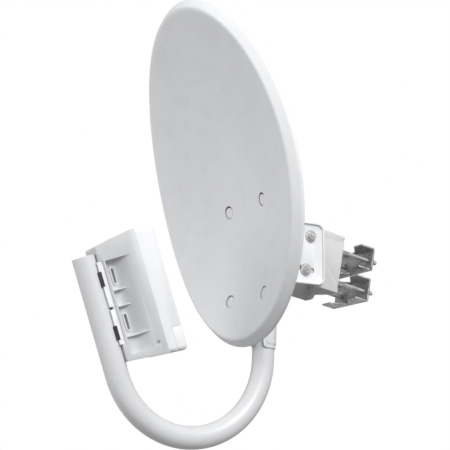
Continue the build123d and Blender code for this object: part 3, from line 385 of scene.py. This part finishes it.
def softened(node, body, width, material=None, smooth=32.0, angle=40.0):
    """Copy of a CAD node with its sharp edges rounded, which replaces the node."""
    source = frame["nodes"][node]
    obj = link(bpy.data.objects.new(node + "_finished", source.data.copy()))
    obj.data.transform(source.matrix_world)
    dress(obj, material or NODE_MATERIALS.get(node, PLATED))
    work = bmesh.new()
    work.from_mesh(obj.data)
    bmesh.ops.remove_doubles(work, verts=work.verts, dist=2e-6)
    bmesh.ops.dissolve_limit(work, angle_limit=radians(0.6), verts=work.verts, edges=work.edges)
    work.to_mesh(obj.data)
    work.free()
    bevel = obj.modifiers.new("round", "BEVEL")
    bevel.width = width * MM
    bevel.segments = 2
    bevel.limit_method = "ANGLE"
    bevel.angle_limit = radians(angle)
    bevel.use_clamp_overlap = True
    bevel.miter_outer = "MITER_ARC"
    apply_modifiers(obj)
    clean(obj, smooth)
    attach(obj, body)
    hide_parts(node)
    return obj


# ---- camera, light and floor ----
def camera():
    """Camera low on the dish's side, from its right, up and backward directions."""
    data = bpy.data.cameras.new("camera")
    data.lens = CAMERA_LENS
    data.sensor_width = CAMERA_SENSOR
    data.clip_start = 0.05
    cam = link(bpy.data.objects.new("camera", data))
    turn = Matrix((CAMERA_RIGHT, CAMERA_UP, CAMERA_BACK)).transposed().to_4x4()
    cam.matrix_world = Matrix.Translation(Vector(CAMERA_PLACE)) @ turn
    bpy.context.scene.camera = cam


def area_light(name, place, size, power):
    """Disk light aimed at the middle of the dish."""
    data = bpy.data.lights.new(name, "AREA")
    data.shape = "DISK"
    data.size = size
    data.energy = power
    lamp = link(bpy.data.objects.new(name, data))
    lamp.location = place
    lamp.rotation_euler = (Vector(LIGHT_TARGET) - Vector(place)).to_track_quat("-Z", "Y").to_euler()


def world():
    """Soft surround, brighter from above and in front, and plain white behind the object."""
    surround = bpy.data.worlds.new("studio")
    surround.use_nodes = True
    tree = surround.node_tree
    glow = tree.nodes["Background"]
    glow.inputs["Color"].default_value = (1.0, 1.0, 1.0, 1.0)
    place = tree.nodes.new("ShaderNodeTexCoord")
    lean = tree.nodes.new("ShaderNodeVectorMath")
    lean.operation = "DOT_PRODUCT"
    lean.inputs[1].default_value = WORLD_LEAN
    tree.links.new(place.outputs["Generated"], lean.inputs[0])
    level = tree.nodes.new("ShaderNodeMath")
    level.operation = "ADD"
    level.inputs[1].default_value = WORLD_LEVEL
    tree.links.new(lean.outputs["Value"], level.inputs[0])
    path = tree.nodes.new("ShaderNodeLightPath")
    seen = tree.nodes.new("ShaderNodeMix")
    seen.inputs[3].default_value = 1.0
    tree.links.new(path.outputs["Is Camera Ray"], seen.inputs[0])
    tree.links.new(level.outputs["Value"], seen.inputs[2])
    tree.links.new(seen.outputs[0], glow.inputs["Strength"])
    bpy.context.scene.world = surround
    bpy.context.scene.view_settings.view_transform = "Standard"


def studio():
    """Surround, a key light at the dish's side, a broad front light and a pale floor."""
    world()
    area_light("key", (2.6, -0.5, 1.6), 1.6, 82.0)
    area_light("front", (-1.0, -2.9, -0.3), 4.0, 56.0)
    mesh = bpy.data.meshes.new("floor")
    reach = FLOOR_REACH
    corners = [(-reach, -reach), (reach, -reach), (reach, reach), (-reach, reach)]
    mesh.from_pydata([(x, y, FLOOR_LEVEL) for x, y in corners], [], [(0, 1, 2, 3)])
    floor = link(bpy.data.objects.new("floor", mesh))
    n = Nodes("floor_paper")
    n.colour(n.ramp(n.noise(3.0), [(0.3, (0.80, 0.80, 0.80)), (0.7, (0.84, 0.84, 0.84))]))
    n.rough(n.span(n.noise(12.0), 0.7, 0.85))
    dress(floor, n.material)
    floor.visible_diffuse = False


# ---- reflector ----
APERTURE = RIM_HALF_HEIGHT * cos(RIM_TILT)
VERTEX_Z = RIM_Z - 2 * FOCAL * tan(RIM_TILT)
LOW_Y = RIM_Y + RIM_HALF_HEIGHT * sin(RIM_TILT)
LOW_Z = RIM_Z - APERTURE
VERTEX_Y = LOW_Y + (LOW_Z - VERTEX_Z) ** 2 / (4 * FOCAL)
RIM_NORMAL = Vector((0.0, -cos(RIM_TILT), -sin(RIM_TILT)))


def dish_y(x, z):
    return VERTEX_Y - (x * x + (z - VERTEX_Z) ** 2) / (4 * FOCAL)


def base_point(u, w):
    """Point at u behind the pivot and w above it, in the back bracket's own tilted frame."""
    return Vector((0.0, PIVOT.y + u * cos(BASE_TILT) - w * sin(BASE_TILT),
                   PIVOT.z + u * sin(BASE_TILT) + w * cos(BASE_TILT)))


def smooth_step(t):
    t = min(1.0, max(0.0, t))
    return t * t * (3 - 2 * t)


def dimple_centres():
    return [(s * DISH_BOLT_X, base_point(DIMPLE_FLOOR - 2.0, w).z, w)
            for w in DISH_BOLT_W for s in (-1, 1)]


def skin_y(x, z):
    """Front face of the reflector with its four pressed bolt dimples."""
    y = dish_y(x, z)
    for cx, cz, w in dimple_centres():
        distance = sqrt((x - cx) ** 2 + (z - cz) ** 2)
        if distance < DIMPLE_RADIUS + 3.0:
            run = (z - base_point(DIMPLE_FLOOR, w).z) / cos(BASE_TILT)
            floor = base_point(DIMPLE_FLOOR, w).y - run * sin(BASE_TILT)
            share = 1.0 - smooth_step((distance - DIMPLE_RADIUS + 0.6) / 0.9)
            y += (floor - y) * share
    return y


def rim_frame(angle):
    """Point on the rim, and its outward and backward directions square to the rim."""
    def place(a):
        x, z = RIM_HALF_WIDTH * cos(a), RIM_Z + APERTURE * sin(a)
        return Vector((x, dish_y(x, z), z))
    tangent = (place(angle + 1e-4) - place(angle - 1e-4)).normalized()
    back = -RIM_NORMAL
    back = (back - tangent * back.dot(tangent)).normalized()
    outward = back.cross(tangent)
    if outward.dot(place(angle) - Vector((0, RIM_Y, RIM_Z))) < 0:
        outward = -outward
    return place(angle), outward, back


def reflector():
    """Paraboloid skin, fold, flared rim and hem as one sheet, then given its thickness."""
    around, rings = 288, 26
    flat = []
    centres = dimple_centres()
    for ring in range(rings + 1):
        share = 1.0 - ring / rings
        count = max(6, int(around * share ** 0.8))
        reach = share * (1.0 - LIP_FOLD / RIM_HALF_WIDTH)
        for i in range(count):
            angle = 2 * pi * (i + (ring % 2) * 0.5) / count
            x, z = RIM_HALF_WIDTH * reach * cos(angle), RIM_Z + APERTURE * reach * sin(angle)
            clear = min(sqrt((x - cx) ** 2 + (z - cz) ** 2) for cx, cz, _ in centres)
            if ring == 0 or clear > 23.0:
                flat.append(Vector((x, z)))
    for cx, cz, _ in centres:
        flat.append(Vector((cx, cz)))
        for radius, count in DIMPLE_RINGS:
            for i in range(count):
                angle = 2 * pi * (i + 0.5 * (count % 8 == 4)) / count
                flat.append(Vector((cx + radius * cos(angle), cz + radius * sin(angle))))
    verts, _, faces, _, _, _ = delaunay_2d_cdt(flat, [], [], 0, 1e-6)
    points = [Vector((v.x, skin_y(v.x, v.y), v.y)) for v in verts]
    faces = [list(f) for f in faces]
    edge = {}
    for i in range(around):
        edge[i] = min(range(len(verts)), key=lambda k: (verts[k] - flat[i]).length)
    rows = [[edge[i] for i in range(around)]]
    lip = Vector((LIP_OUT, LIP_BACK)).normalized()
    for step in range(1, 15):
        row = []
        for i in range(around):
            rim, outward, back = rim_frame(2 * pi * i / around)
            inside = points[edge[i]] - rim
            start = Vector((inside.dot(outward), inside.dot(back)))
            along = inside - outward * start.x - back * start.y
            if step <= 6:
                t = step / 6
                end = lip * LIP_FOLD
                at = start * (1 - t) ** 2 + end * t ** 2
                along = along * (1 - t) ** 2
            elif step <= 9:
                t = (step - 6) / 3
                at = lip * (LIP_FOLD + t * (lip_length() - LIP_FOLD - LIP_BEND))
                along = Vector()
            else:
                t = min(1.0, (step - 9) / 4)
                corner = lip * lip_length()
                start = lip * (lip_length() - LIP_BEND)
                end = corner + Vector((0.4, LIP_HEM if step == 14 else 2.2))
                at = start * (1 - t) ** 2 + corner * 2 * t * (1 - t) + end * t ** 2
                along = Vector()
            points.append(rim + outward * at.x + back * at.y + along)
            row.append(len(points) - 1)
        rows.append(row)
    for near, far in zip(rows, rows[1:]):
        for i in range(around):
            j = (i + 1) % around
            faces.append([near[i], near[j], far[j], far[i]])
    # dish face paint with painted shade rings in the grooves round the bolt heads
    skin = painted_shade_rings(paint("dish_face_paint", 0.90, 0.012, 0.012, 1.0, 0.48),
                        [(cx, cz) for cx, cz, _ in centres], DISH_HEAD_RADIUS, DIMPLE_RADIUS)
    obj = mesh_piece("reflector_skin", points, faces, skin, "dish", 60.0)
    if sum(p.normal.y for p in obj.data.polygons[:50]) > 0:
        obj.data.flip_normals()
    thick = obj.modifiers.new("sheet", "SOLIDIFY")
    thick.thickness = DISH_SHEET * MM * 0.9
    thick.offset = -1.0
    thick.use_even_offset = True
    apply_modifiers(obj)
    obj.data.polygons.foreach_set("use_smooth", [True] * len(obj.data.polygons))
    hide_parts("reflector")


def lip_length():
    return sqrt(LIP_OUT ** 2 + LIP_BACK ** 2)


# ---- arm ----
def arm_path():
    """Centres and directions along the arm, from the radio's end to the end behind the dish."""
    path = []
    for share in (0.0, 0.004, 0.5, 1.0):
        along = RADIO_LIMB * (1 - share)
        lean = RADIO_LEAN
        y = BEND_Y - BEND_RADIUS * cos(lean) - along * sin(lean)
        z = BEND_Z - BEND_RADIUS * sin(lean) + along * cos(lean)
        path.append((Vector((0, y, z)), Vector((0, sin(lean), -cos(lean)))))
    turns = 72
    first, last = pi + RADIO_LEAN, 2 * pi + UPPER_LEAN
    for i in range(1, turns):
        a = first + (last - first) * i / turns
        centre = Vector((0, BEND_Y + BEND_RADIUS * cos(a), BEND_Z + BEND_RADIUS * sin(a)))
        path.append((centre, Vector((0, -sin(a), cos(a)))))
    for share in (0.0, 0.5, 0.996, 1.0):
        along = UPPER_LIMB * share
        lean = UPPER_LEAN
        y = BEND_Y + BEND_RADIUS * cos(lean) - along * sin(lean)
        z = BEND_Z + BEND_RADIUS * sin(lean) + along * cos(lean)
        path.append((Vector((0, y, z)), Vector((0, -sin(lean), cos(lean)))))
    return path


def arm():
    """Bent tube with bored, lightly rounded ends."""
    around = 64
    path = arm_path()
    points, rows = [], []

    def ring(centre, heading, radius):
        side = Vector((1, 0, 0))
        out = heading.cross(side)
        rows.append(range(len(points), len(points) + around))
        for i in range(around):
            a = 2 * pi * i / around
            points.append(centre + side * radius * cos(a) + out * radius * sin(a))

    edge = 0.35
    for k, (centre, heading) in enumerate(path):
        if k == 0 or k == len(path) - 1:
            direction = heading if k == 0 else -heading
            first = [(centre, TUBE_RADIUS - edge), (centre + direction * 0.12, TUBE_RADIUS - 0.1),
                     (centre + direction * edge, TUBE_RADIUS)]
            for place, radius in (first if k == 0 else reversed(first)):
                ring(place, heading, radius)
        else:
            ring(centre, heading, TUBE_RADIUS)
    bore = TUBE_RADIUS - TUBE_WALL
    for k, (centre, heading) in enumerate(reversed(path)):
        ring(centre, heading, bore)
    faces = []
    count = len(rows)
    for k in range(count):
        near, far = rows[k], rows[(k + 1) % count]
        for i in range(around):
            j = (i + 1) % around
            faces.append([near[i], near[j], far[j], far[i]])
    obj = mesh_piece("arm_tube_formed", points, faces, ARM, "dish", 50.0)
    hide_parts("arm_tube")


# ---- bolts with real threads ----
def threaded_bolt(seat, direction, length, head, neck, start, flush=False):
    """Points and faces of a carriage bolt: domed head, square neck, plain shank and thread.

    A flush head is crowned to lie level with the dish's face.
    """
    direction = Vector(direction).normalized()
    side = direction.orthogonal().normalized()
    other = direction.cross(side)
    around = 24
    points, rows = [], []

    def ring(offset, radius, square=0.0, thread=0.0):
        rows.append(range(len(points), len(points) + around))
        for i in range(around):
            a = 2 * pi * i / around
            r = radius
            if square:
                r = square / max(abs(cos(a)), abs(sin(a)))
            if thread:
                phase = (offset / BOLT_PITCH - a / (2 * pi)) % 1.0
                r = radius - thread * abs(2 * phase - 1)
            points.append(Vector(seat) + direction * offset + side * r * cos(a) + other * r * sin(a))

    if flush:
        for share, sunk in ((0.005, 0.30), (0.45, 0.30), (0.80, 0.38), (0.95, 0.60), (1.0, 1.1)):
            ring(0.0, head * share)
            for i in rows[-1]:
                for _ in range(6):
                    gap = points[i].y - dish_y(points[i].x, points[i].z) - sunk
                    points[i] = points[i] - direction * (gap / direction.y)
    else:
        for k in range(7):
            a = pi / 2 * k / 7
            ring(-BOLT_HEAD_HEIGHT * cos(a), max(0.05, head * sin(a)))
        ring(-0.5, head)
    ring(0.0, head - 0.4)
    ring(0.0, BOLT_RADIUS * 1.3, square=BOLT_RADIUS)
    ring(neck, BOLT_RADIUS * 1.3, square=BOLT_RADIUS)
    ring(neck + 0.1, BOLT_RADIUS - 0.12)
    ring(start, BOLT_RADIUS - 0.12)
    steps = int((length - start - 1.0) / BOLT_PITCH * 6)
    for k in range(steps + 1):
        ring(start + 0.2 + (length - start - 1.2) * k / steps, BOLT_RADIUS - 0.02, thread=THREAD_DEPTH)
    ring(length - 0.9, BOLT_RADIUS - 0.6)
    ring(length, BOLT_RADIUS - 1.1)
    faces = [list(reversed(rows[0])), list(rows[-1])]
    for near, far in zip(rows, rows[1:]):
        for i in range(around):
            j = (i + 1) % around
            faces.append([near[i], near[j], far[j], far[i]])
    return points, faces


def bolt_group(name, node, body, bolts, material):
    points, faces = [], []
    for bolt in bolts:
        more, loops = threaded_bolt(*bolt)
        faces += [[i + len(points) for i in loop] for loop in loops]
        points += more
    obj = mesh_piece(name, points, faces, material, body, 32.0)
    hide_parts(node)


def fasteners():
    """Carriage bolts of the clamp, the dish, the pivot and the lock, placed as in the CAD."""
    bracket_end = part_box("mast_bracket")[1] / MM
    seat_y = bracket_end.y - BRACKET_SHEET * 1.06
    strap_low, strap_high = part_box("clamp_strap_upper")
    strap_z = (strap_low.z + strap_high.z) / 2 / MM
    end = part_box("clamp_bolts")[1].y / MM
    bolt_group("clamp_bolts_threaded", "clamp_bolts", "mount",
               [((x, seat_y, z), (0, 1, 0), end - seat_y, CLAMP_HEAD_RADIUS, BRACKET_SHEET, 22.0)
                for z in (-strap_z, strap_z) for x in (-CLAMP_BOLT_X, CLAMP_BOLT_X)], PLATED)
    into = Vector((0.0, cos(BASE_TILT), sin(BASE_TILT)))
    bolt_group("reflector_bolts_threaded", "reflector_bolts", "dish",
               [(base_point(DIMPLE_FLOOR, w) + Vector((s * DISH_BOLT_X, 0, 0)), into,
                 DISH_BOLT_LENGTH, DISH_HEAD_RADIUS, 1.2, 4.0, True)
                for w in DISH_BOLT_W for s in (-1, 1)], DISH)
    seat_x = bracket_end.x - BRACKET_SHEET
    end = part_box("pivot_bolts")[1].x / MM
    for node, z in (("pivot_bolts", PIVOT.z), ("lock_bolts", -PIVOT.z)):
        bolt_group(node + "_threaded", node, "mount",
                   [((s * seat_x, PIVOT.y, z), (s, 0, 0), end - seat_x, PIVOT_HEAD_RADIUS,
                     BRACKET_SHEET, 5.5) for s in (-1, 1)], BRIGHT)


# ---- build ----
camera()
studio()
reflector()
arm()
fasteners()
# each node that gets rounded edges, with its body and the edge width in millimetres
EDGES = {
    "mast_bracket": ("mount", 0.5), "back_bracket": ("dish", 0.45), "arm_saddle": ("dish", 0.4),
    "clamp_strap_upper": ("upper_clamp", 0.35), "clamp_strap_lower": ("lower_clamp", 0.35),
    "radio_rail": ("dish", 0.4), "rear_housing": ("dish", 0.35), "radome": ("dish", 0.3),
    "port_cover": ("port_cover", 0.3),
}
for node, (body, width) in EDGES.items():
    softened(node, body, width)
